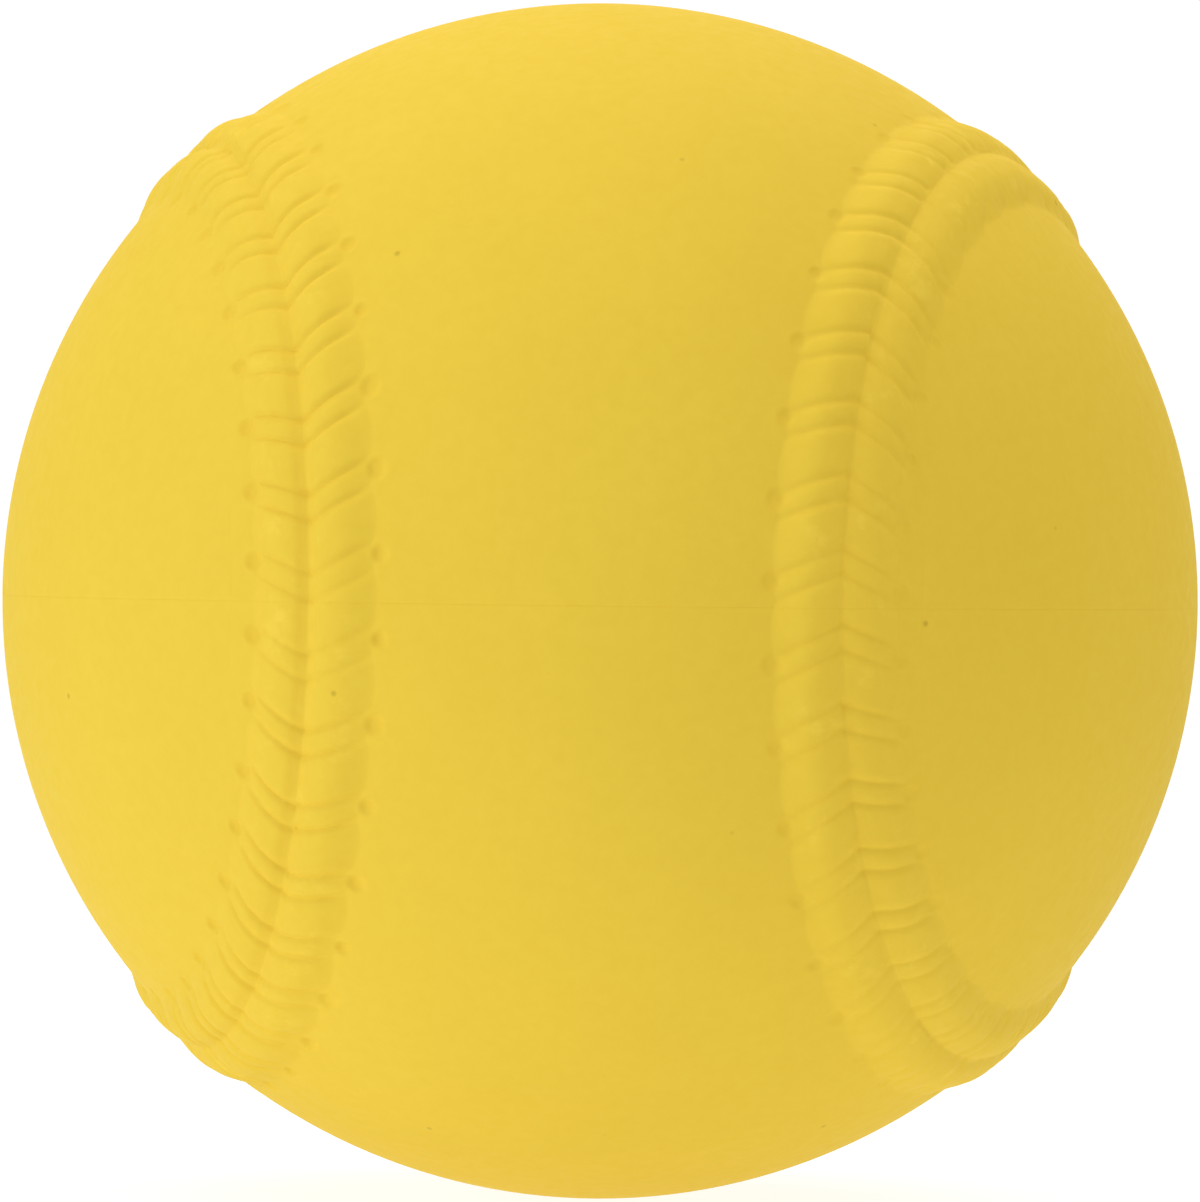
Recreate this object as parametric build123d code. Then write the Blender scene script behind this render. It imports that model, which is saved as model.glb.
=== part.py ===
from build123d import *

import os
from math import acos, atan2, cos, degrees, radians, sin, sqrt, tan

# A 12-inch softball with a moulded cover: a cork core, its yarn winding, a latex coat and two bonded half
# covers, whose raised seam is moulded with a facsimile of two-needle stitching.
# The origin is the ball's centre. The half covers meet in the plane z = 0, +Z points to the upper half, and
# the neck of the upright panel faces -Y. The seam is one closed line made of four equal circular arcs on the
# ball, so each stretch of the raised seam is a solid of revolution about an axis through the centre.

# The ball and its layers, in millimetres
BALL_DIAMETER = 97.0  # over the smooth cover, for a 12-inch circumference
COVER_WALL = 3.2
COAT_THICKNESS = 0.4
WINDING_THICKNESS = 6.0

# The seam line
NECK_WIDTH = 41.5  # from seam to seam across a panel's neck, along the surface
STITCH_COUNT = 88  # stitches in each edge of the seam
FIRST_STITCH = 0.74  # how far the first stitch's point lies past the parting plane, in stitches

# The raised seam: a roll of pads on each side of a groove
GROOVE_WIDTH = 0.4  # between the rolls, where the smooth cover shows
ROLL_WIDTH = 4.8  # of one roll, from the groove to its foot
ROLL_HEIGHT = 1.0  # the pads' crest, above the smooth cover

# The moulded stitches, which cross the rolls in sunken bands between the pads
THREAD_WIDTH = 2.0
THREAD_DROP = 0.25  # the bands' crest, below the pads' crest
THREAD_ANGLE = 24.0  # degrees, from square to the seam

# The needle holes, one tapered pit at the outer end of each stitch
HOLE_GAP = 0.35  # from the roll's foot to the hole's middle
HOLE_MOUTH = 1.1
HOLE_FLOOR = 0.6
HOLE_DEPTH = 0.9

# What follows from those
ball_radius = BALL_DIAMETER / 2
coat_radius = ball_radius - COVER_WALL
winding_radius = coat_radius - COAT_THICKNESS
core_radius = winding_radius - WINDING_THICKNESS

# Each arc of the seam is the circle round a lobe that touches the neck and passes through a crossing point,
# which lies half way between two axes. Angles are seen from the ball's centre.
neck_angle = NECK_WIDTH / 2 / ball_radius
lobe_tilt = atan2(sqrt(2) * cos(neck_angle), 1 - sqrt(2) * sin(neck_angle))  # from the neck to the lobe
arc_radius = lobe_tilt - neck_angle
half_sweep = acos((sin(neck_angle) / sqrt(2) - cos(arc_radius) ** 2) / sin(arc_radius) ** 2)
turning_radius = ball_radius * sin(arc_radius)
half_arc_length = turning_radius * half_sweep
seam_length = 4 * 2 * half_arc_length  # four arcs of two halves each
stitch_pitch = seam_length / STITCH_COUNT

# A roll is a round tube, sunk in the cover so far that its section meets the smooth cover at both feet
roll_middle = (GROOVE_WIDTH + ROLL_WIDTH) / 2  # from the groove's middle to the crest, over the surface
roll_foot = GROOVE_WIDTH / 2 + ROLL_WIDTH
foot_drop = ball_radius * (1 - cos(ROLL_WIDTH / 2 / ball_radius))
tube_depth_radius = ROLL_HEIGHT * (ball_radius + ROLL_HEIGHT / 2) / (ROLL_HEIGHT + foot_drop)
pad_tube_radius = ball_radius + ROLL_HEIGHT - tube_depth_radius
thread_tube_radius = pad_tube_radius - THREAD_DROP

# The blocks and cones that cut the rolls and the cover stand clear of the surface
slot_height = 4 * ROLL_HEIGHT
hole_rise = HOLE_DEPTH / 2

CENTRE = Vector(0, 0, 0)


class SeamArc:
    """One circular stretch of the upper seam, which starts at a point and turns about an axis."""

    def __init__(self, start, axis, sweep):
        """start and axis are unit vectors, and sweep is the angle of the stretch in radians."""
        self.start = start
        self.axis = Axis(CENTRE, axis)
        self.sweep = sweep
        self.length = turning_radius * sweep

    def frame(self, along):
        """The outward, forward and leftward unit vectors where the seam has run this far along the arc."""
        outward = self.start.rotate(self.axis, degrees(along / turning_radius))
        forward = self.axis.direction.cross(outward).normalized()
        return outward, forward, outward.cross(forward)

    def tube(self, across, radius, lead=0.0, tail=0.0):
        """A round tube that follows the arc to its left, by this distance over the surface. It starts ahead
        of the arc by lead and runs on past its end by tail."""
        outward, forward, left = self.frame(-lead)
        lean = across / ball_radius
        radial = outward * cos(lean) + left * sin(lean)
        section = Plane(origin=radial * tube_depth_radius, x_dir=radial, z_dir=forward) * Circle(radius)
        turn = degrees((lead + self.length + tail) / turning_radius)
        return revolve(section, axis=self.axis, revolution_arc=turn)


def upper_seam():
    """The seam above the parting plane: up the right of the neck, over the back and down the left."""
    neck_right = Vector(sin(neck_angle), -cos(neck_angle), 0)
    crossing_right = Vector(1, 0, 1).normalized()
    crossing_left = Vector(-1, 0, 1).normalized()
    lobe_right = Vector(sin(lobe_tilt), -cos(lobe_tilt), 0)
    lobe_left = Vector(-sin(lobe_tilt), -cos(lobe_tilt), 0)
    lobe_top = Vector(0, cos(lobe_tilt), sin(lobe_tilt))
    return [
        SeamArc(neck_right, -lobe_right, half_sweep),
        SeamArc(crossing_right, lobe_top, 2 * half_sweep),
        SeamArc(crossing_left, -lobe_left, half_sweep),
    ]


def place_on_seam(seam, along, across):
    """The plane that lies on the smooth cover at this place: x forward along the seam, y left, z outward.
    along is measured on the seam line and across to the left of it, both over the surface."""
    for arc in seam:
        if along <= arc.length or arc is seam[-1]:
            break
        along -= arc.length
    outward, forward, left = arc.frame(along)
    lean = across / ball_radius
    radial = outward * cos(lean) + left * sin(lean)
    return Plane(origin=radial * ball_radius, x_dir=forward, z_dir=radial)


def rolls(seam, tube_radius):
    """The roll on each side of the upper seam, as tubes of this radius that run on past the parting plane."""
    first, middle, last = seam
    tubes = []
    for across in (-roll_middle, roll_middle):
        tubes.append(first.tube(across, tube_radius, lead=stitch_pitch))
        tubes.append(middle.tube(across, tube_radius))
        tubes.append(last.tube(across, tube_radius, tail=stitch_pitch))
    return tubes


def stitch_places(across):
    """How far along the upper seam each stitch lies, at this distance across from the groove. One more at
    each end belongs to the other half and may reach over the parting plane."""
    lag = abs(across) * tan(radians(THREAD_ANGLE))
    upper_stitches = STITCH_COUNT // 2
    return [(number + FIRST_STITCH) * stitch_pitch - lag for number in range(-1, upper_stitches + 1)]


def thread_slots(seam):
    """The blocks that part the pads of a roll, one along each stitch, from the groove to past the foot."""
    length = ROLL_WIDTH / cos(radians(THREAD_ANGLE)) + THREAD_WIDTH
    block = Box(THREAD_WIDTH, length, slot_height)
    slots = []
    for side in (-1, 1):
        across = side * roll_middle
        for along in stitch_places(across):
            slots.append(place_on_seam(seam, along, across) * Rot(Z=side * THREAD_ANGLE) * block)
    return slots


def needle_holes(seam):
    """The tapered pits at the outer ends of the stitches. Each cone runs on above the smooth cover."""
    widest = HOLE_MOUTH + (HOLE_MOUTH - HOLE_FLOOR) * hole_rise / HOLE_DEPTH
    pit = Pos(Z=hole_rise) * Cone(
        HOLE_FLOOR / 2, widest / 2, HOLE_DEPTH + hole_rise, align=(Align.CENTER, Align.CENTER, Align.MAX)
    )
    holes = []
    for side in (-1, 1):
        across = side * (roll_foot + HOLE_GAP)
        for along in stitch_places(across):
            holes.append(place_on_seam(seam, along, across) * pit)
    return holes


def cover_half():
    """The upper half cover: a half shell with the raised seam, its pads, stitches and needle holes."""
    seam = upper_seam()
    ball = Rot(Z=-90) * Sphere(ball_radius)
    hollow = Rot(Z=-90) * Sphere(coat_radius)
    pads = Part() + rolls(seam, pad_tube_radius) - thread_slots(seam)
    threads = Part() + rolls(seam, thread_tube_radius)
    whole = ball + threads + pads - needle_holes(seam)
    return split(whole, bisect_by=Plane.XY, keep=Keep.TOP) - hollow


def layer(outer_radius, inner_radius):
    """A closed round layer of the ball."""
    return Sphere(outer_radius) - Sphere(inner_radius)


def main():
    upper = cover_half()
    pieces = {
        "cork_core": Sphere(core_radius),
        "yarn_winding": layer(winding_radius, core_radius),
        "latex_coat": layer(coat_radius, winding_radius),
        "upper_half_cover": upper,
        "lower_half_cover": Rot(Y=180) * upper,
    }
    os.makedirs("parts", exist_ok=True)
    for name, piece in pieces.items():
        export_step(piece, f"parts/{name}.step")
    print(f"seam {seam_length:.1f} mm long, stitch pitch {stitch_pitch:.2f} mm")


main()
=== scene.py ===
import bpy
import numpy as np
from mathutils import Matrix, Vector


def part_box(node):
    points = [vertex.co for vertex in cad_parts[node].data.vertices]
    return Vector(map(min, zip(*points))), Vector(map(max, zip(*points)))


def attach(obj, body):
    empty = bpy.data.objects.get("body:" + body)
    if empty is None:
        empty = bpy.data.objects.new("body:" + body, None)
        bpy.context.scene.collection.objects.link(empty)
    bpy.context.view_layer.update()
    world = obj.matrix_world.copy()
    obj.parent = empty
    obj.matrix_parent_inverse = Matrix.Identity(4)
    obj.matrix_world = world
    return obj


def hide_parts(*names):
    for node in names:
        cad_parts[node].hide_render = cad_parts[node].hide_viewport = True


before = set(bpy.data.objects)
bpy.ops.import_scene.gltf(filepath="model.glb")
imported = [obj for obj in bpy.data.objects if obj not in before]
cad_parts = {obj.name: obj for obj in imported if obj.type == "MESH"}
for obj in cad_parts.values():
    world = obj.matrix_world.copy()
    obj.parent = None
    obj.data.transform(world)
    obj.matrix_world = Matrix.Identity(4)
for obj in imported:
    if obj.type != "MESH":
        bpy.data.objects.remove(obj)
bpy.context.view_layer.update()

# The cork core
# A hard ball of ground cork and rubber granules, pressed in a mould and baked. The yarn is wound straight
# on to it, so it sits at the ball's centre and nothing fixes it but the winding.
MM = 0.001
WELD_DISTANCE = 0.001 * MM
CORE_GRID = (300, 150)  # columns round the ball and rows from pole to pole
GRANULE_COUNT = 520
GRANULE_JITTER = 0.03  # as a share of the radius
GRANULE_STEP = 0.12 * MM  # from the highest granule to the lowest
CREASE_DEPTH = 0.30 * MM
CREASE_WIDTH = 0.75 * MM
core_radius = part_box("cork_core")[1].z


def sphere_directions(columns, rows):
    """Unit vectors on a grid: each column is a meridian from the lower pole to the upper one, and the last
    column lies on the first."""
    turn = np.linspace(0, 2 * np.pi, columns + 1)[:, None]
    rise = np.linspace(-np.pi / 2, np.pi / 2, rows + 1)
    return np.stack([np.cos(rise) * np.cos(turn), np.cos(rise) * np.sin(turn), np.sin(rise) + 0 * turn], -1)


def scattered_directions(count, jitter, seed):
    """Unit vectors spread over a sphere: equal steps in height, each a golden turn on from the last, then
    shaken a little."""
    number = np.arange(count) + 0.5
    height = 1 - 2 * number / count
    turn = np.pi * (1 + np.sqrt(5)) * number
    level = np.sqrt(1 - height**2)
    spread = np.stack([level * np.cos(turn), level * np.sin(turn), height], -1)
    spread += np.random.default_rng(seed).normal(0, jitter, spread.shape)
    return spread / np.linalg.norm(spread, axis=-1, keepdims=True)


def bell(value, centre, half_width):
    """1 at the centre and less on both sides: e to the minus square of the distance in half widths."""
    return np.exp(-(((value - centre) / half_width) ** 2))


def grid_faces(columns, rows, first=0):
    """Two triangles for each cell of a grid of points that are numbered row by row within each column."""
    column, row = np.meshgrid(np.arange(columns - 1), np.arange(rows - 1), indexing="ij")
    here = (first + column * rows + row).ravel()
    beyond = here + rows
    lower = np.stack([here, beyond, beyond + 1], 1)
    upper = np.stack([here, beyond + 1, here + 1], 1)
    return np.concatenate([lower, upper])


def weld(points, faces):
    """Merges points that lie together and drops the faces that collapse."""
    rounded = np.round(points / WELD_DISTANCE)
    _, keep, name = np.unique(rounded, axis=0, return_index=True, return_inverse=True)
    faces = name.reshape(-1)[faces]
    whole = (faces[:, 0] != faces[:, 1]) & (faces[:, 1] != faces[:, 2]) & (faces[:, 2] != faces[:, 0])
    return points[keep], faces[whole]


def add_piece(name, points, faces, node, material, tones=None, sharp=40):
    """A smooth-shaded mesh object that stands for a node, with edges sharper than this angle in degrees kept
    sharp. tones are values at the points, which the material can read."""
    mesh = bpy.data.meshes.new(name)
    mesh.vertices.add(len(points))
    mesh.vertices.foreach_set("co", points.astype(np.float32).ravel())
    mesh.loops.add(faces.size)
    mesh.loops.foreach_set("vertex_index", faces.astype(np.int32).ravel())
    mesh.polygons.add(len(faces))
    mesh.polygons.foreach_set("loop_start", np.arange(0, faces.size, 3, dtype=np.int32))
    mesh.polygons.foreach_set("use_smooth", np.ones(len(faces), bool))
    mesh.update(calc_edges=True)
    mesh.set_sharp_from_angle(angle=np.radians(sharp))
    if tones is not None:
        tone = mesh.attributes.new("tone", "FLOAT", "POINT")
        tone.data.foreach_set("value", tones.astype(np.float32))
    mesh.materials.append(material)
    piece = bpy.data.objects.new(name, mesh)
    bpy.context.scene.collection.objects.link(piece)
    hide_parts(node)
    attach(piece, "root")


def linear(red, green, blue):
    """A colour given in screen values from 0 to 255, in the linear values that a shader takes."""
    screen = np.array([red, green, blue]) / 255
    return (*np.where(screen <= 0.04045, screen / 12.92, ((screen + 0.055) / 1.055) ** 2.4), 1.0)


class Finish:
    """A node material that reads its piece's own coordinates, with short makers for its patterns."""

    def __init__(self, name, specular):
        self.material = bpy.data.materials.new(name)
        self.material.use_nodes = True
        self.nodes = self.material.node_tree.nodes
        self.links = self.material.node_tree.links
        self.shader = self.nodes["Principled BSDF"]
        self.shader.inputs["Specular IOR Level"].default_value = specular
        self.place = self.nodes.new("ShaderNodeTexCoord").outputs["Object"]

    def noise(self, per_metre, detail=2.0, roughness=0.5):
        """Cloudy values about a half, with this many clouds to the metre."""
        node = self.nodes.new("ShaderNodeTexNoise")
        node.inputs["Scale"].default_value = per_metre
        node.inputs["Detail"].default_value = detail
        node.inputs["Roughness"].default_value = roughness
        self.links.new(self.place, node.inputs["Vector"])
        return node.outputs["Fac"]

    def spots(self, per_metre):
        """The distance to the nearest of scattered spots, in cells, with this many cells to the metre."""
        node = self.nodes.new("ShaderNodeTexVoronoi")
        node.inputs["Scale"].default_value = per_metre
        self.links.new(self.place, node.inputs["Vector"])
        return node.outputs["Distance"]

    def tone(self):
        """The values stored at the piece's points."""
        node = self.nodes.new("ShaderNodeAttribute")
        node.attribute_name = "tone"
        return node.outputs["Fac"]

    def spread(self, value, span, onto):
        """A value within a span, carried over in proportion on to another span and held at its ends."""
        node = self.nodes.new("ShaderNodeMapRange")
        node.inputs["From Min"].default_value = span[0]
        node.inputs["From Max"].default_value = span[1]
        node.inputs["To Min"].default_value = onto[0]
        node.inputs["To Max"].default_value = onto[1]
        self.links.new(value, node.inputs["Value"])
        return node.outputs["Result"]

    def times(self, a, b):
        """One value times another."""
        node = self.nodes.new("ShaderNodeMath")
        node.operation = "MULTIPLY"
        self.links.new(a, node.inputs[0])
        self.links.new(b, node.inputs[1])
        return node.outputs["Value"]

    def blend(self, share, first, second):
        """The first colour where the share is 0 and the second where it is 1, each a value or a link."""
        node = self.nodes.new("ShaderNodeMix")
        node.data_type = "RGBA"
        self.links.new(share, node.inputs["Factor"])
        for socket, colour in (("A", first), ("B", second)):
            if isinstance(colour, tuple):
                node.inputs[socket].default_value = colour
            else:
                self.links.new(colour, node.inputs[socket])
        return node.outputs["Result"]

    def finish(self, colour, roughness, relief, depth):
        """Sets the colour and roughness, and a fine relief of this depth."""
        self.links.new(colour, self.shader.inputs["Base Color"])
        self.links.new(roughness, self.shader.inputs["Roughness"])
        bump = self.nodes.new("ShaderNodeBump")
        bump.inputs["Distance"].default_value = depth
        self.links.new(relief, bump.inputs["Height"])
        self.links.new(bump.outputs["Normal"], self.shader.inputs["Normal"])
        return self.material


def pressed_core():
    """The core's surface: the radius drops in a bell into a crease where two granules are equally near, and
    each granule has its own level. Also gives each point's granule a tone."""
    grid = sphere_directions(*CORE_GRID)
    directions, faces = weld(grid.reshape(-1, 3), grid_faces(*grid.shape[:2]))
    granules = scattered_directions(GRANULE_COUNT, GRANULE_JITTER, seed=5)
    nearness = np.clip(directions @ granules.T, -1, 1)
    second, first = np.sort(np.partition(nearness, -2, axis=1)[:, -2:], axis=1).T
    gap = (np.arccos(second) - np.arccos(first)) * core_radius
    tone = np.random.default_rng(seed=6).uniform(0, 1, GRANULE_COUNT)[np.argmax(nearness, axis=1)]
    radius = core_radius - CREASE_DEPTH * bell(gap, 0, CREASE_WIDTH) - GRANULE_STEP * tone
    return directions * radius[:, None], faces, tone


def pressed_cork():
    """Brown granules, lighter and darker by turns, with small pores and dark flecks of bark."""
    dark_granule = linear(150, 104, 62)
    light_granule = linear(196, 152, 100)
    bark = linear(88, 56, 34)
    cork = Finish("pressed_cork", specular=0.2)
    granule = cork.blend(cork.tone(), dark_granule, light_granule)
    fleck = cork.spread(cork.spots(per_metre=900.0), span=(0.12, 0.3), onto=(1.0, 0.0))
    colour = cork.blend(fleck, granule, bark)
    rough = cork.spread(cork.noise(per_metre=400.0), span=(0.3, 0.7), onto=(0.78, 0.95))
    pores = cork.noise(per_metre=1600.0, detail=3.0, roughness=0.65)
    return cork.finish(colour, rough, pores, depth=0.25 * MM)


core_points, core_faces, core_tones = pressed_core()
add_piece("pressed_cork_core", core_points, core_faces, "cork_core", pressed_cork(), core_tones)

# The yarn winding
# Cotton and polyester yarn wound tight on the core by machine, in wraps that run right round the ball and
# keep turning over it, the last wraps on top. It grips the core, and the latex soaks into its outside.
YARN_GRID = (400, 200)
INSIDE_GRID = (160, 80)  # for the smooth inside of a layer
YARN_PITCH = 2.3 * MM  # from strand to strand
YARN_SWELL = 0.42 * MM  # from a strand's crest down to the dip beside it
STRAND_POWER = 1.6  # of the sine across a strand, for a rounder crest
WRAP_COUNT = 44
WRAP_JITTER = 0.2  # as a share of the radius
WRAP_HALF_WIDTH = 11.5 * MM
TUCK_DEPTH = 0.25 * MM  # how far the edge of a wrap is drawn in
TUCK_START = 0.7  # where that begins, as a share of the half width
YARN_SHARP = 70  # in degrees, the least angle of an edge that isn't smoothed
winding_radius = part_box("yarn_winding")[1].z


def yarn_depth(directions):
    """How far the yarn lies below the winding's greatest radius, and each point's own wrap as a tone. A wrap
    is a belt of strands round a great circle. Across it the depth is a power of a sine for the strands, and
    grows evenly at the belt's edges. The last wrap over a point shows."""
    poles = scattered_directions(WRAP_COUNT, WRAP_JITTER, seed=21)
    poles = poles[np.random.default_rng(seed=22).permutation(WRAP_COUNT)]
    depth = np.full(directions.shape[:-1], YARN_SWELL)
    tone = np.full(directions.shape[:-1], 0.5)
    for number, pole in enumerate(poles):
        across = np.arcsin(np.clip(directions @ pole, -1, 1)) * winding_radius
        strand = YARN_SWELL * np.abs(np.sin(np.pi * across / YARN_PITCH)) ** STRAND_POWER
        edge_share = (np.abs(across) / WRAP_HALF_WIDTH - TUCK_START) / (1 - TUCK_START)
        tuck = TUCK_DEPTH * np.clip(edge_share, 0, 1)
        shows = np.abs(across) < WRAP_HALF_WIDTH
        depth = np.where(shows, strand + tuck, depth)
        tone = np.where(shows, number / WRAP_COUNT, tone)
    return depth, tone


def shell(directions, radius, inner_radius):
    """A closed layer: an outer surface whose radius is given at each direction, and a smooth inner one."""
    outer = directions * radius[..., None]
    inner = sphere_directions(*INSIDE_GRID) * inner_radius
    count = outer.shape[0] * outer.shape[1]
    faces = [grid_faces(*outer.shape[:2]), grid_faces(*inner.shape[:2], count)[:, ::-1]]
    return weld(np.concatenate([outer.reshape(-1, 3), inner.reshape(-1, 3)]), np.concatenate(faces))


def wound_yarn():
    """Cream to grey yarn, one tone to a wrap, with a streaky fibre colour and a fuzzy fibre relief."""
    cream = linear(222, 212, 190)
    grey = linear(196, 190, 178)
    dark_fibre = linear(160, 150, 134)
    yarn = Finish("wound_yarn", specular=0.1)
    yarn.shader.inputs["Sheen Weight"].default_value = 0.25
    wrap = yarn.blend(yarn.tone(), cream, grey)
    streak = yarn.spread(yarn.noise(per_metre=1500.0, detail=3.0), span=(0.4, 0.75), onto=(0.0, 0.5))
    colour = yarn.blend(streak, wrap, dark_fibre)
    rough = yarn.spread(yarn.noise(per_metre=700.0), span=(0.3, 0.7), onto=(0.85, 1.0))
    fuzz = yarn.noise(per_metre=2600.0, roughness=0.6)
    return yarn.finish(colour, rough, fuzz, depth=0.2 * MM)


yarn_directions = sphere_directions(*YARN_GRID)
yarn_radius = winding_radius - yarn_depth(yarn_directions)[0]
yarn_points, yarn_faces = shell(yarn_directions, yarn_radius, core_radius)
yarn_tones = yarn_depth(yarn_points / np.linalg.norm(yarn_points, axis=1, keepdims=True))[1]
add_piece(
    "wound_yarn_layer", yarn_points, yarn_faces, "yarn_winding", wound_yarn(), yarn_tones, YARN_SHARP
)

# The latex coat
# A thin coat of latex cement, brushed over the winding and left to set. It holds the yarn and is the glue
# that bonds the two half covers on, so the strands show through it a little.
COAT_GRID = (300, 150)
SHOW_THROUGH = 0.25  # the share of the yarn's relief that shows in the coat
coat_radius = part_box("latex_coat")[1].z


def brushed_latex():
    """Amber latex, slightly glossy, cloudy where it has soaked in and rippled by the brush."""
    amber = linear(214, 190, 140)
    pale_amber = linear(232, 214, 172)
    latex = Finish("brushed_latex", specular=0.4)
    colour = latex.blend(latex.noise(per_metre=160.0, detail=3.0), amber, pale_amber)
    rough = latex.spread(latex.noise(per_metre=500.0), span=(0.3, 0.7), onto=(0.32, 0.5))
    ripples = latex.noise(per_metre=420.0, roughness=0.6)
    return latex.finish(colour, rough, ripples, depth=0.12 * MM)


coat_directions = sphere_directions(*COAT_GRID)
latex_radius = coat_radius - SHOW_THROUGH * yarn_depth(coat_directions)[0]
coat_points, coat_faces = shell(coat_directions, latex_radius, winding_radius)
add_piece(
    "brushed_latex_coat", coat_points, coat_faces, "latex_coat", brushed_latex(), sharp=YARN_SHARP
)

# The upper half cover
# One half of the moulded rubber cover, yellow right through. The mould gives it the raised seam, whose two
# rolls of pads are crossed by the moulded stitches, and a pit for each needle hole. It is bonded to the
# latex coat beneath, and to the other half at the parting plane.
NECK_WIDTH = 41.5 * MM  # from seam to seam, over the ball
STITCH_COUNT = 88  # in each roll, round the whole seam
FIRST_STITCH = 0.74  # how far stitch 0 lies past the parting plane, in stitches
THREAD_ANGLE = np.radians(24.0)  # how far a stitch slants from straight across the seam
ball_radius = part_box("upper_half_cover")[1].z

neck_angle = NECK_WIDTH / 2 / ball_radius
lobe_tilt = np.arctan2(np.sqrt(2) * np.cos(neck_angle), 1 - np.sqrt(2) * np.sin(neck_angle))
arc_radius = lobe_tilt - neck_angle
turning_radius = ball_radius * np.sin(arc_radius)
half_sweep = np.arccos(
    (np.sin(neck_angle) / np.sqrt(2) - np.cos(arc_radius) ** 2) / np.sin(arc_radius) ** 2
)
half_arc = turning_radius * half_sweep
upper_length = 4 * half_arc
stitch_pitch = 2 * upper_length / STITCH_COUNT


def seam_frame(along):
    """The outward, forward and leftward unit vectors at each distance along the upper seam. The seam starts
    at the right of the neck, and each of its three arcs turns its start point about the axis of a lobe."""
    crossing = np.sqrt(0.5)
    starts = np.array(
        [[np.sin(neck_angle), -np.cos(neck_angle), 0], [crossing, 0, crossing], [-crossing, 0, crossing]]
    )
    axes = np.array(
        [
            [-np.sin(lobe_tilt), np.cos(lobe_tilt), 0],
            [0, np.cos(lobe_tilt), np.sin(lobe_tilt)],
            [np.sin(lobe_tilt), np.cos(lobe_tilt), 0],
        ]
    )
    begins = np.array([0, half_arc, 3 * half_arc])
    arc = np.searchsorted(begins[1:], along)
    start = starts[arc]
    axis = axes[arc]
    turn = ((along - begins[arc]) / turning_radius)[..., None]
    lift = np.sum(axis * start, -1, keepdims=True) * axis
    outward = lift + (start - lift) * np.cos(turn) + np.cross(axis, start) * np.sin(turn)
    forward = np.cross(axis, outward)
    forward /= np.linalg.norm(forward, axis=-1, keepdims=True)
    return outward, forward, np.cross(outward, forward)


def seam_points(along, across, height):
    """Points at this distance along the seam, this distance to its left and this height, over the ball."""
    outward, _, left = seam_frame(along)
    lean = (across / ball_radius)[..., None]
    radial = outward * np.cos(lean) + left * np.sin(lean)
    return radial * (ball_radius + height)[..., None]


def thread_lag(across):
    """How far a stitch trails behind its point in the groove, as it leads out at its angle to the seam."""
    tip_round = 0.35 * MM
    return np.tan(THREAD_ANGLE) * (np.sqrt(across**2 + tip_round**2) - tip_round)


def plateau(value, centre, half_width):
    """Near 1 about the centre and near 0 past the half width: the bell with a fourth power for its square."""
    return np.exp(-(((value - centre) / half_width) ** 4))


def past_right(place):
    """How many stitches a place lies past the right of the neck, or minus how many before it."""
    return (place + STITCH_COUNT / 2) % STITCH_COUNT - STITCH_COUNT / 2


def leftness(place):
    """From 0 at the right of the neck to 1 at its left: half of one minus the cosine, once round the seam."""
    return 0.5 - 0.5 * np.cos(2 * np.pi * place / STITCH_COUNT)


def stitch_number(run, half):
    """The stitch at this run along the seam, counted round the whole ball, with shares of a stitch between.
    To even spacing it adds a drift that rises at the right of the neck and dies away round the ball, and a
    slow wave. So the stitches lie closest together at the right of the neck."""
    drift_size = 0.1
    drift_rise = 2.2
    drift_reach = 24
    wave_size = 0.075
    number = run / stitch_pitch - FIRST_STITCH + half * STITCH_COUNT / 2
    from_right = past_right(number)
    drift = drift_size * (1 + np.tanh(from_right / drift_rise)) * plateau(from_right, 0, drift_reach)
    return number + drift + wave_size * np.cos(2 * np.pi * number / STITCH_COUNT)


def mould_crispness(place, side):
    """How crisp the mould's stitches are and how deep its pits, each from 0 to 1. Both grow a little from the
    right of the ball to the left. Each loss is its greatest share times a plateau about a stitch: the mould
    is faint where the seam leaves the neck's right for the sides, its outer roll is worn smooth at the upper
    right, and two stitches at the middle of the neck's left are dull. The pits are shallow at the right."""
    crisp_at_right = 0.85
    outer = side == 0
    left = leftness(place)
    faint = 0.5 * plateau(np.abs(past_right(place)), centre=8.6, half_width=3.0)
    smooth = 0.7 * outer * plateau(place, centre=8.0, half_width=3.2)
    dull = 0.3 * plateau(place, centre=STITCH_COUNT / 2 - 0.5, half_width=1.0)
    shallow = np.where(outer, 0.5, 0.3) * (1 - left)
    crisp = (crisp_at_right + (1 - crisp_at_right) * left) * (1 - faint) * (1 - smooth)
    return crisp * (1 - dull), crisp * (1 - shallow)


# The mould's small unevenness, for each stitch on the outer and the inner roll: the heights of the pad and
# the stitch in millimetres, the stitch's shift along the seam, and the size of its pit as a share
mould = np.random.default_rng(seed=12)
pad_swell = mould.uniform(0.95, 1.04, (STITCH_COUNT, 2))
thread_swell = mould.uniform(0.92, 1.0, (STITCH_COUNT, 2))
thread_shift = mould.normal(0, 0.09, (STITCH_COUNT, 2)) * MM
hole_size = mould.uniform(0.75, 1.1, (STITCH_COUNT, 2))

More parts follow.
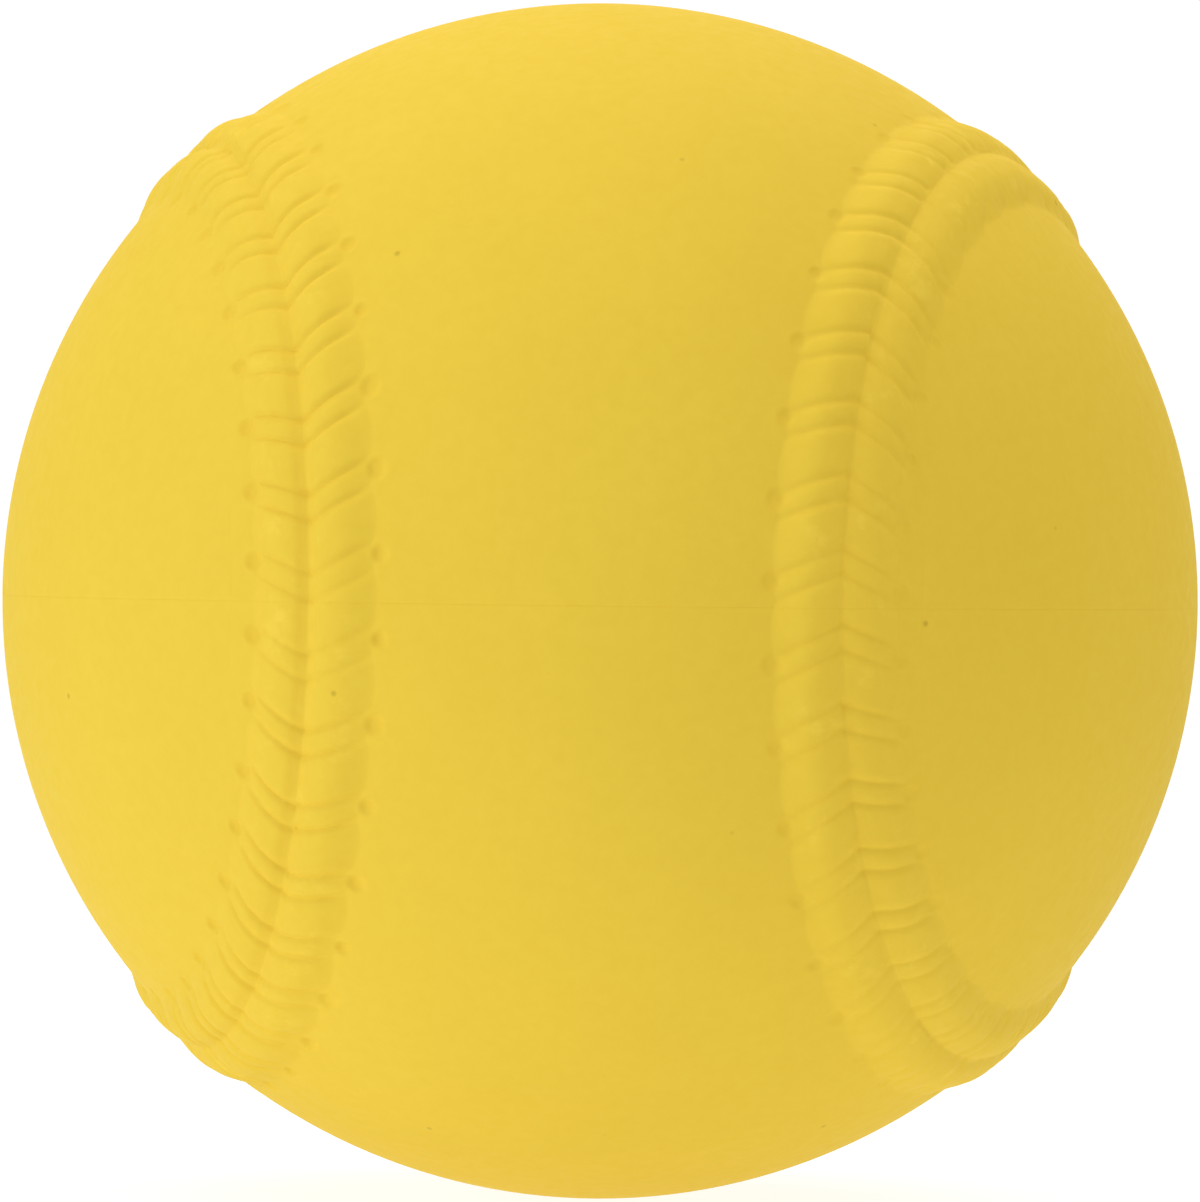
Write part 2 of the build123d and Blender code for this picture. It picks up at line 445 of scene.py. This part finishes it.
# The sizes of the relief in millimetres. Crests and feet are measured from the middle of the groove.
GROOVE_SHIFT = -0.12  # from the seam line to the middle of the groove, towards the outer roll
GROOVE_HALF_WIDTH = 0.8
GROOVE_DEPTH = 0.05  # at the right of the ball
GROOVE_GAIN = 0.12  # how much deeper it is at the left
GROOVE_LOSS = 0.07  # how much of that it lacks at the lower left
PAD_CREST = 2.2
PAD_FOOT = 5.3
PAD_BULGE = 0.14  # how much wider a pad is in the middle than beside a stitch
PAD_DROP = 0.06  # how much lower a pad is beside a stitch
THREAD_CREST = 2.15
THREAD_FOOT = 5.2
THREAD_HALF_WIDTH = 0.95
THREAD_DROP = 0.02  # how far a stitch lies below its swell, where the mould is crisp
THREAD_ROUND = 0.10  # from the middle of a stitch down to its sides
INNER_SPREAD = 0.25  # how much further out the foot of the inner roll lies
FURROW_AREA = 0.054  # the furrow's depth times its half width
HOLE_REACH = 5.35  # from the seam line to the middle of a pit
PIT_RADIUS = 0.66
PIT_DEPTH = 0.24
LIP_RADIUS = 0.92
LIP_HALF_WIDTH = 0.2
LIP_HEIGHT = 0.04


def roll(reach, crest, foot, height, left):
    """The height across a roll: from the groove, a slope that is rounded by a power leads up to the crest,
    and a cosine, rounded in the same way, down to the foot. The slope is higher at the left of the ball."""
    slope_power = 2.2
    foot_power = 1.5
    slope_height = 0.28 + 0.08 * left
    inner = height - slope_height * np.clip(1 - reach / crest, 0, 1) ** slope_power
    fall = np.clip((reach - crest) / (foot - crest), 0, 1)
    return inner * np.cos(np.pi / 2 * fall) ** foot_power


def seam_relief(along, across, half):
    """The height of the moulded seam over the smooth cover. The pads and the stitches are rolls of their own
    sizes, and one gives way to the other along a steep curve. A furrow, a bell in section, runs down each
    side of a stitch. The groove is a plateau in section, shallower at the right of the ball and at the lower
    left. A stitch ends in a round pit, a plateau too, with a bell round it for its lip."""
    side = (across > 0).astype(int)  # 0 on the outer roll and 1 on the inner one, beside the neck
    place = stitch_number(along + thread_lag(across), half)
    thread = np.round(place).astype(int) % STITCH_COUNT
    pad = np.floor(place).astype(int) % STITCH_COUNT
    left = leftness(place)
    crisp, sunk = mould_crispness(place, side)
    reach = np.abs(across / MM - GROOVE_SHIFT)
    beside = (place - np.round(place)) * stitch_pitch - thread_shift[thread, side]
    off = np.abs(beside) * np.cos(THREAD_ANGLE) / MM
    past_edge = off - THREAD_HALF_WIDTH

    # The pads
    bulge_start = 1.0
    bulge_run = 2.0
    drop_run = 0.5
    bulge = PAD_BULGE * np.clip((off - bulge_start) / bulge_run, 0, 1)
    pads = roll(reach, PAD_CREST, PAD_FOOT + INNER_SPREAD * side + bulge, pad_swell[pad, side], left)
    pads = pads - PAD_DROP * crisp * np.exp(-np.clip(past_edge, 0, None) / drop_run)

    # The stitches
    edge_softness = 0.08
    swell = 1 - crisp * (1 + THREAD_DROP - thread_swell[thread, side])
    threads = roll(reach, THREAD_CREST, THREAD_FOOT + INNER_SPREAD * side, swell, left)
    threads = threads - THREAD_ROUND * crisp * (off / THREAD_HALF_WIDTH) ** 2
    on_thread = 1 / (1 + np.exp(past_edge / edge_softness))
    height = pads + (threads - pads) * on_thread

    # The furrows and the groove
    furrow_width = 0.34 - 0.07 * left
    furrow = FURROW_AREA / furrow_width * crisp * bell(off, THREAD_HALF_WIDTH, furrow_width)
    full_furrow_height = 0.5
    furrow = furrow * np.clip(height / full_furrow_height, 0, 1)
    low_left_stitch = STITCH_COUNT / 2 + 3.5
    lowness = 0.5 + 0.5 * np.tanh((place - low_left_stitch) / 2)
    groove_depth = GROOVE_DEPTH + (GROOVE_GAIN - GROOVE_LOSS * lowness) * left
    height = np.maximum(height - furrow - groove_depth * plateau(reach, 0, GROOVE_HALF_WIDTH), 0)

    # The pits, which on the inner side lie further out at the left and further along at the right
    further_out = 0.35 * side * left
    further_along = 0.6 * side * (1 - left)
    past_hole = np.abs(across) / MM - HOLE_REACH - further_out
    before_hole = beside / MM - np.tan(THREAD_ANGLE) * past_hole - further_along
    from_hole = np.hypot(before_hole, past_hole) / hole_size[thread, side]
    pit = plateau(from_hole, 0, PIT_RADIUS)
    lip = bell(from_hole, LIP_RADIUS, LIP_HALF_WIDTH)
    height = height * (1 - pit) + sunk * (LIP_HEIGHT * lip - PIT_DEPTH * pit)
    return height * MM


def spaced(start, stop, count, density):
    """count + 1 places from start to stop, closer together where the density is higher: equal steps in the
    running sum of the density."""
    fine_steps = 20000
    fine = np.linspace(start, stop, fine_steps + 1)
    share = np.cumsum(density(fine))
    share = (share - share[0]) / (share[-1] - share[0])
    return np.interp(np.linspace(0, 1, count + 1), share, fine)


def column_density(run, half):
    """More columns down both sides of each stitch, in a bell."""
    most_extra = 1.8
    number = stitch_number(run, half)
    off = np.abs(number - np.round(number)) * stitch_pitch / MM
    return 1 + most_extra * bell(off, centre=1.0, half_width=0.6)


def row_density(across):
    """More rows in the groove and through the needle holes, in bells."""
    most_extra = 1.2
    reach = np.abs(across) / MM
    return 1 + most_extra * bell(reach, 0, GROOVE_HALF_WIDTH) + bell(reach, HOLE_REACH, half_width=0.75)


# The mesh of a half cover
BAND_REACH = 6.9 * MM  # how far the finely divided band reaches on each side of the seam
COLUMNS_PER_STITCH = 24
ROWS_PER_SIDE = 30
THIN = 6  # columns of the band to one column beyond it
THINNED_GAP = 0.6 * MM  # from the edge of the band to the first thinned line
LOBE_STEPS = 40
SKIRT_STEPS = 24
HOLLOW_STEPS = 30
LEAST_ANGLE = 1e-9  # in radians, so that the arc at the lobe's tip, whose ends meet, can be worked out


def fan_faces(cells, rows, fine_row, first):
    """Triangles from an edge of the band, which has THIN columns to a cell, to a line with one."""
    cell = np.arange(cells)
    start = cell * THIN * rows + fine_row
    thin = first + cell
    fan = [np.stack([thin, start + THIN // 2 * rows, thin + 1], 1)]
    for step in range(THIN):
        here = start + step * rows
        fan.append(np.stack([here, here + rows, thin + (step >= THIN // 2)], 1))
    return np.concatenate(fan)


def cover_half(half):
    """The closed surface of a half cover, for the upper half 0 or the lower half 1.
    A band of fine columns follows the seam, skewed to run along the stitches. On its left, great-circle arcs
    from side to side fill the neck and the lobe above it. On its right, meridians run down to the parting
    plane. A chamfer, the parting face and the hollow close the shape."""
    columns = (STITCH_COUNT // 2 + 1) * COLUMNS_PER_STITCH
    full_run = upper_length + thread_lag(BAND_REACH)
    column = spaced(0, full_run, columns, lambda run: column_density(run, half))
    row = spaced(-BAND_REACH, BAND_REACH, 2 * ROWS_PER_SIDE, row_density)
    across = np.broadcast_to(row, (len(column), len(row)))
    along = np.clip(column[:, None] - thread_lag(across), 0, upper_length)
    band = seam_points(along, across, seam_relief(along, across, half))
    points = [band.reshape(-1, 3)]
    faces = [grid_faces(*band.shape[:2])]
    count = band.shape[0] * band.shape[1]

    # The thinned line beside each edge of the band
    thinned = along[::THIN, 0]
    beside = np.full(len(thinned), BAND_REACH + THINNED_GAP)
    right_line = seam_points(thinned, -beside, 0 * beside)
    left_line = seam_points(thinned, beside, 0 * beside)
    faces.append(fan_faces(len(thinned) - 1, len(row), 0, count)[:, ::-1])
    faces.append(fan_faces(len(thinned) - 1, len(row), len(row) - 1, count + len(thinned)))
    points += [right_line, left_line]
    count += 2 * len(thinned)

    # The neck and the lobe above it
    middle = len(thinned) // 2 + 1
    near = left_line[:middle] / ball_radius
    far = left_line[::-1][:middle] / ball_radius
    angle = np.arccos(np.clip(np.sum(near * far, 1), -1, 1))
    angle = np.maximum(angle, LEAST_ANGLE)[:, None, None]
    share = np.linspace(0, 1, LOBE_STEPS + 1)[None, :, None]
    lobe = np.sin((1 - share) * angle) * near[:, None] + np.sin(share * angle) * far[:, None]
    lobe *= ball_radius / np.linalg.norm(lobe, axis=-1, keepdims=True)
    points.append(lobe.reshape(-1, 3))
    faces.append(grid_faces(*lobe.shape[:2], count))
    count += lobe.shape[0] * lobe.shape[1]

    # The side lobes and the neck at the back
    azimuth = np.arctan2(right_line[:, 1], right_line[:, 0])[:, None]
    top_rise = np.arcsin(np.clip(right_line[:, 2] / ball_radius, -1, 1))[:, None]
    rise = top_rise * np.linspace(1, 0, SKIRT_STEPS + 1)
    skirt = ball_radius * np.stack(
        [np.cos(rise) * np.cos(azimuth), np.cos(rise) * np.sin(azimuth), np.sin(rise)], -1
    )
    points.append(skirt.reshape(-1, 3))
    faces.append(grid_faces(*skirt.shape[:2], count)[:, ::-1])
    count += skirt.shape[0] * skirt.shape[1]

    # The rim in order round the parting plane, its chamfer, the parting face and the hollow
    chamfer = 0.012 * MM
    front = [right_line[:1], band[0], left_line[:1], lobe[0, 1:-1], left_line[-1:], band[-1, ::-1]]
    rim = np.concatenate(front + [skirt[::-1, -1], right_line[:1]])
    points = np.concatenate(points)
    points[:, 2] = np.maximum(points[:, 2], chamfer)
    rim[:, 2] = chamfer
    turn = np.arctan2(rim[:, 1], rim[:, 0])[:, None]
    rise = np.linspace(0, np.pi / 2, HOLLOW_STEPS + 1)
    hollow = coat_radius * np.stack(
        [np.cos(rise) * np.cos(turn), np.cos(rise) * np.sin(turn), np.sin(rise) + 0 * turn], -1
    )
    lip = rim * (1 - chamfer / ball_radius)
    lip[:, 2] = 0
    inside = np.concatenate([rim[:, None], lip[:, None], hollow], 1)
    points = np.concatenate([points, inside.reshape(-1, 3)])
    faces.append(grid_faces(*inside.shape[:2], count))
    points, faces = weld(points, np.concatenate(faces))
    if half:
        points = points * np.array([-1, 1, -1])
    return points, faces


def cover_rubber():
    """Matt yellow rubber, with a faint cloudy colour, a fine mottle from the mould, a few tiny pinholes
    painted as dark dots of shade because their pits are not modelled, and paler wear on the crests of the
    pads."""
    yellow = linear(229, 193, 62)
    bright_yellow = linear(235, 199, 66)
    dull_yellow = linear(226, 188, 59)
    worn_yellow = linear(246, 214, 82)
    pinhole_shade_brown = linear(168, 130, 36)
    rubber = Finish("cover_rubber", specular=0.06)
    cloud = rubber.blend(rubber.noise(per_metre=60.0, detail=4.0), yellow, bright_yellow)
    mould_grain = rubber.noise(per_metre=900.0, detail=3.0, roughness=0.6)
    mottle = rubber.spread(mould_grain, span=(0.35, 0.75), onto=(0.0, 0.35))
    mottled = rubber.blend(mottle, cloud, dull_yellow)
    rubbing = rubber.noise(per_metre=260.0, detail=4.0, roughness=0.65)
    scuff = rubber.spread(rubbing, span=(0.58, 0.70), onto=(0.0, 0.4))
    worn = rubber.blend(rubber.times(rubber.tone(), scuff), mottled, worn_yellow)
    # Painted shade: each tiny pinhole is a dark brown dot in the colour, in place of the shade inside a pit
    # that the mesh does not have
    painted_pinhole_shade = rubber.spread(rubber.spots(per_metre=110.0), span=(0.016, 0.036), onto=(0.45, 0.0))
    colour = rubber.blend(painted_pinhole_shade, worn, pinhole_shade_brown)
    rough = rubber.spread(rubber.noise(per_metre=900.0), span=(0.3, 0.7), onto=(0.62, 0.78))
    grain = rubber.noise(per_metre=1500.0, detail=3.0, roughness=0.6)
    return rubber.finish(colour, rough, grain, depth=0.012 * MM)


def crest_share(points):
    """How far each point stands up towards the crest of the pads, from 0 on the smooth cover to 1."""
    crest_height = 1.0 * MM
    return np.clip((np.linalg.norm(points, axis=1) - ball_radius) / crest_height, 0, 1)


rubber = cover_rubber()
upper_points, upper_faces = cover_half(0)
upper_crests = crest_share(upper_points)
add_piece("moulded_upper_cover", upper_points, upper_faces, "upper_half_cover", rubber, upper_crests)

# The lower half cover
# The same moulding in the same yellow rubber, turned half round about the level line through both necks. It
# is bonded to the latex coat from below, and to the upper half at the parting plane.
lower_points, lower_faces = cover_half(1)
lower_crests = crest_share(lower_points)
add_piece("moulded_lower_cover", lower_points, lower_faces, "lower_half_cover", rubber, lower_crests)

# The stage
# A plain pale floor that the ball rests on and a white surround. The floor reaches further to the left than
# to the right. A wide soft lamp hangs overhead and a smaller, cooler one stands in front at the left.
FLOOR_SIZE = 1.0
FLOOR_SHIFT = 0.2
FLOOR_GREY = (0.3, 0.3, 0.3, 1)
FLOOR_GLOW = (0.96, 1.0, 1.02, 1)
FLOOR_GLOW_STRENGTH = 0.83
SURROUND_COLOUR = (1, 0.975, 0.96, 1)
SURROUND_LIGHT = 0.32  # its strength as a light on the ball
SURROUND_SEEN = 1.05  # its strength to the camera, in reflections and through glass, which is white

floor_mesh = bpy.data.meshes.new("floor")
corners = FLOOR_SIZE * np.array([[-1, -1, 0], [1, -1, 0], [1, 1, 0], [-1, 1, 0]]) / 2
floor_mesh.from_pydata((corners - [FLOOR_SHIFT, 0, ball_radius]).tolist(), [], [(0, 1, 2, 3)])
floor = bpy.data.objects.new("floor", floor_mesh)
bpy.context.scene.collection.objects.link(floor)

floor_white = bpy.data.materials.new("floor_white")
floor_white.use_nodes = True
floor_shader = floor_white.node_tree.nodes["Principled BSDF"]
floor_shader.inputs["Base Color"].default_value = FLOOR_GREY
floor_shader.inputs["Roughness"].default_value = 1.0
floor_shader.inputs["Specular IOR Level"].default_value = 0.0
floor_shader.inputs["Emission Color"].default_value = FLOOR_GLOW
floor_shader.inputs["Emission Strength"].default_value = FLOOR_GLOW_STRENGTH
floor_mesh.materials.append(floor_white)


def greater(tree, a, b):
    """The greater of two values."""
    node = tree.nodes.new("ShaderNodeMath")
    node.operation = "MAXIMUM"
    tree.links.new(a, node.inputs[0])
    tree.links.new(b, node.inputs[1])
    return node.outputs["Value"]


surround = bpy.data.worlds.new("surround")
bpy.context.scene.world = surround
surround.use_nodes = True
surround_tree = surround.node_tree
ray = surround_tree.nodes.new("ShaderNodeLightPath").outputs
mirrored = greater(surround_tree, ray["Is Glossy Ray"], ray["Is Transmission Ray"])
seen = greater(surround_tree, ray["Is Camera Ray"], mirrored)
strength = surround_tree.nodes.new("ShaderNodeMapRange")
strength.inputs["To Min"].default_value = SURROUND_LIGHT
strength.inputs["To Max"].default_value = SURROUND_SEEN
surround_tree.links.new(seen, strength.inputs["Value"])
surround_shader = surround_tree.nodes["Background"]
surround_shader.inputs["Color"].default_value = SURROUND_COLOUR
surround_tree.links.new(strength.outputs["Result"], surround_shader.inputs["Strength"])


def soft_lamp(name, place, size, watts, colour):
    """A round lamp of this size across, at a place in metres, that faces the ball's centre."""
    lamp = bpy.data.lights.new(name, "AREA")
    lamp.shape = "DISK"
    lamp.size = size
    lamp.energy = watts
    lamp.color = colour
    stand = bpy.data.objects.new(name, lamp)
    aim = (-Vector(place)).to_track_quat("-Z", "Y").to_matrix().to_4x4()
    stand.matrix_world = Matrix.Translation(place) @ aim
    bpy.context.scene.collection.objects.link(stand)


soft_lamp("overhead_lamp", place=(0.11, 0, 0.8), size=1.9, watts=11.4, colour=(0.98, 1.0, 0.99))
soft_lamp("left_lamp", place=(-1.16, -0.68, 0.2), size=0.9, watts=8.1, colour=(0.89, 1.0, 1.22))

# The camera
# It looks almost square at the front neck, from a little to the right and above, and leans a little. It
# stands far off, and its lens is set so that the ball's outline has its size in the photograph.
CAMERA_AZIMUTH = np.radians(2.5)
CAMERA_RISE = np.radians(0.45)
CAMERA_LEAN = np.radians(-0.65)
CAMERA_DISTANCE = 16 * ball_radius
OUTLINE_RADIUS = 597.8  # of the ball in the photograph, in pixels
HALF_PICTURE = 601.0  # half the photograph's long side, in pixels
camera = bpy.data.cameras.new("camera")
camera.sensor_width = 36.0
outline = np.tan(np.arcsin(ball_radius / CAMERA_DISTANCE))
camera.lens = camera.sensor_width / 2 * (OUTLINE_RADIUS / HALF_PICTURE) / outline
camera.clip_start = 0.01
viewer = bpy.data.objects.new("camera", camera)
back = Vector(
    (
        np.sin(CAMERA_AZIMUTH) * np.cos(CAMERA_RISE),
        -np.cos(CAMERA_AZIMUTH) * np.cos(CAMERA_RISE),
        np.sin(CAMERA_RISE),
    )
)
viewer.matrix_world = (
    Matrix.Translation(back * CAMERA_DISTANCE)
    @ (-back).to_track_quat("-Z", "Y").to_matrix().to_4x4()
    @ Matrix.Rotation(-CAMERA_LEAN, 4, "Z")
)
bpy.context.scene.collection.objects.link(viewer)
bpy.context.scene.camera = viewer
bpy.context.scene.view_settings.view_transform = "Standard"
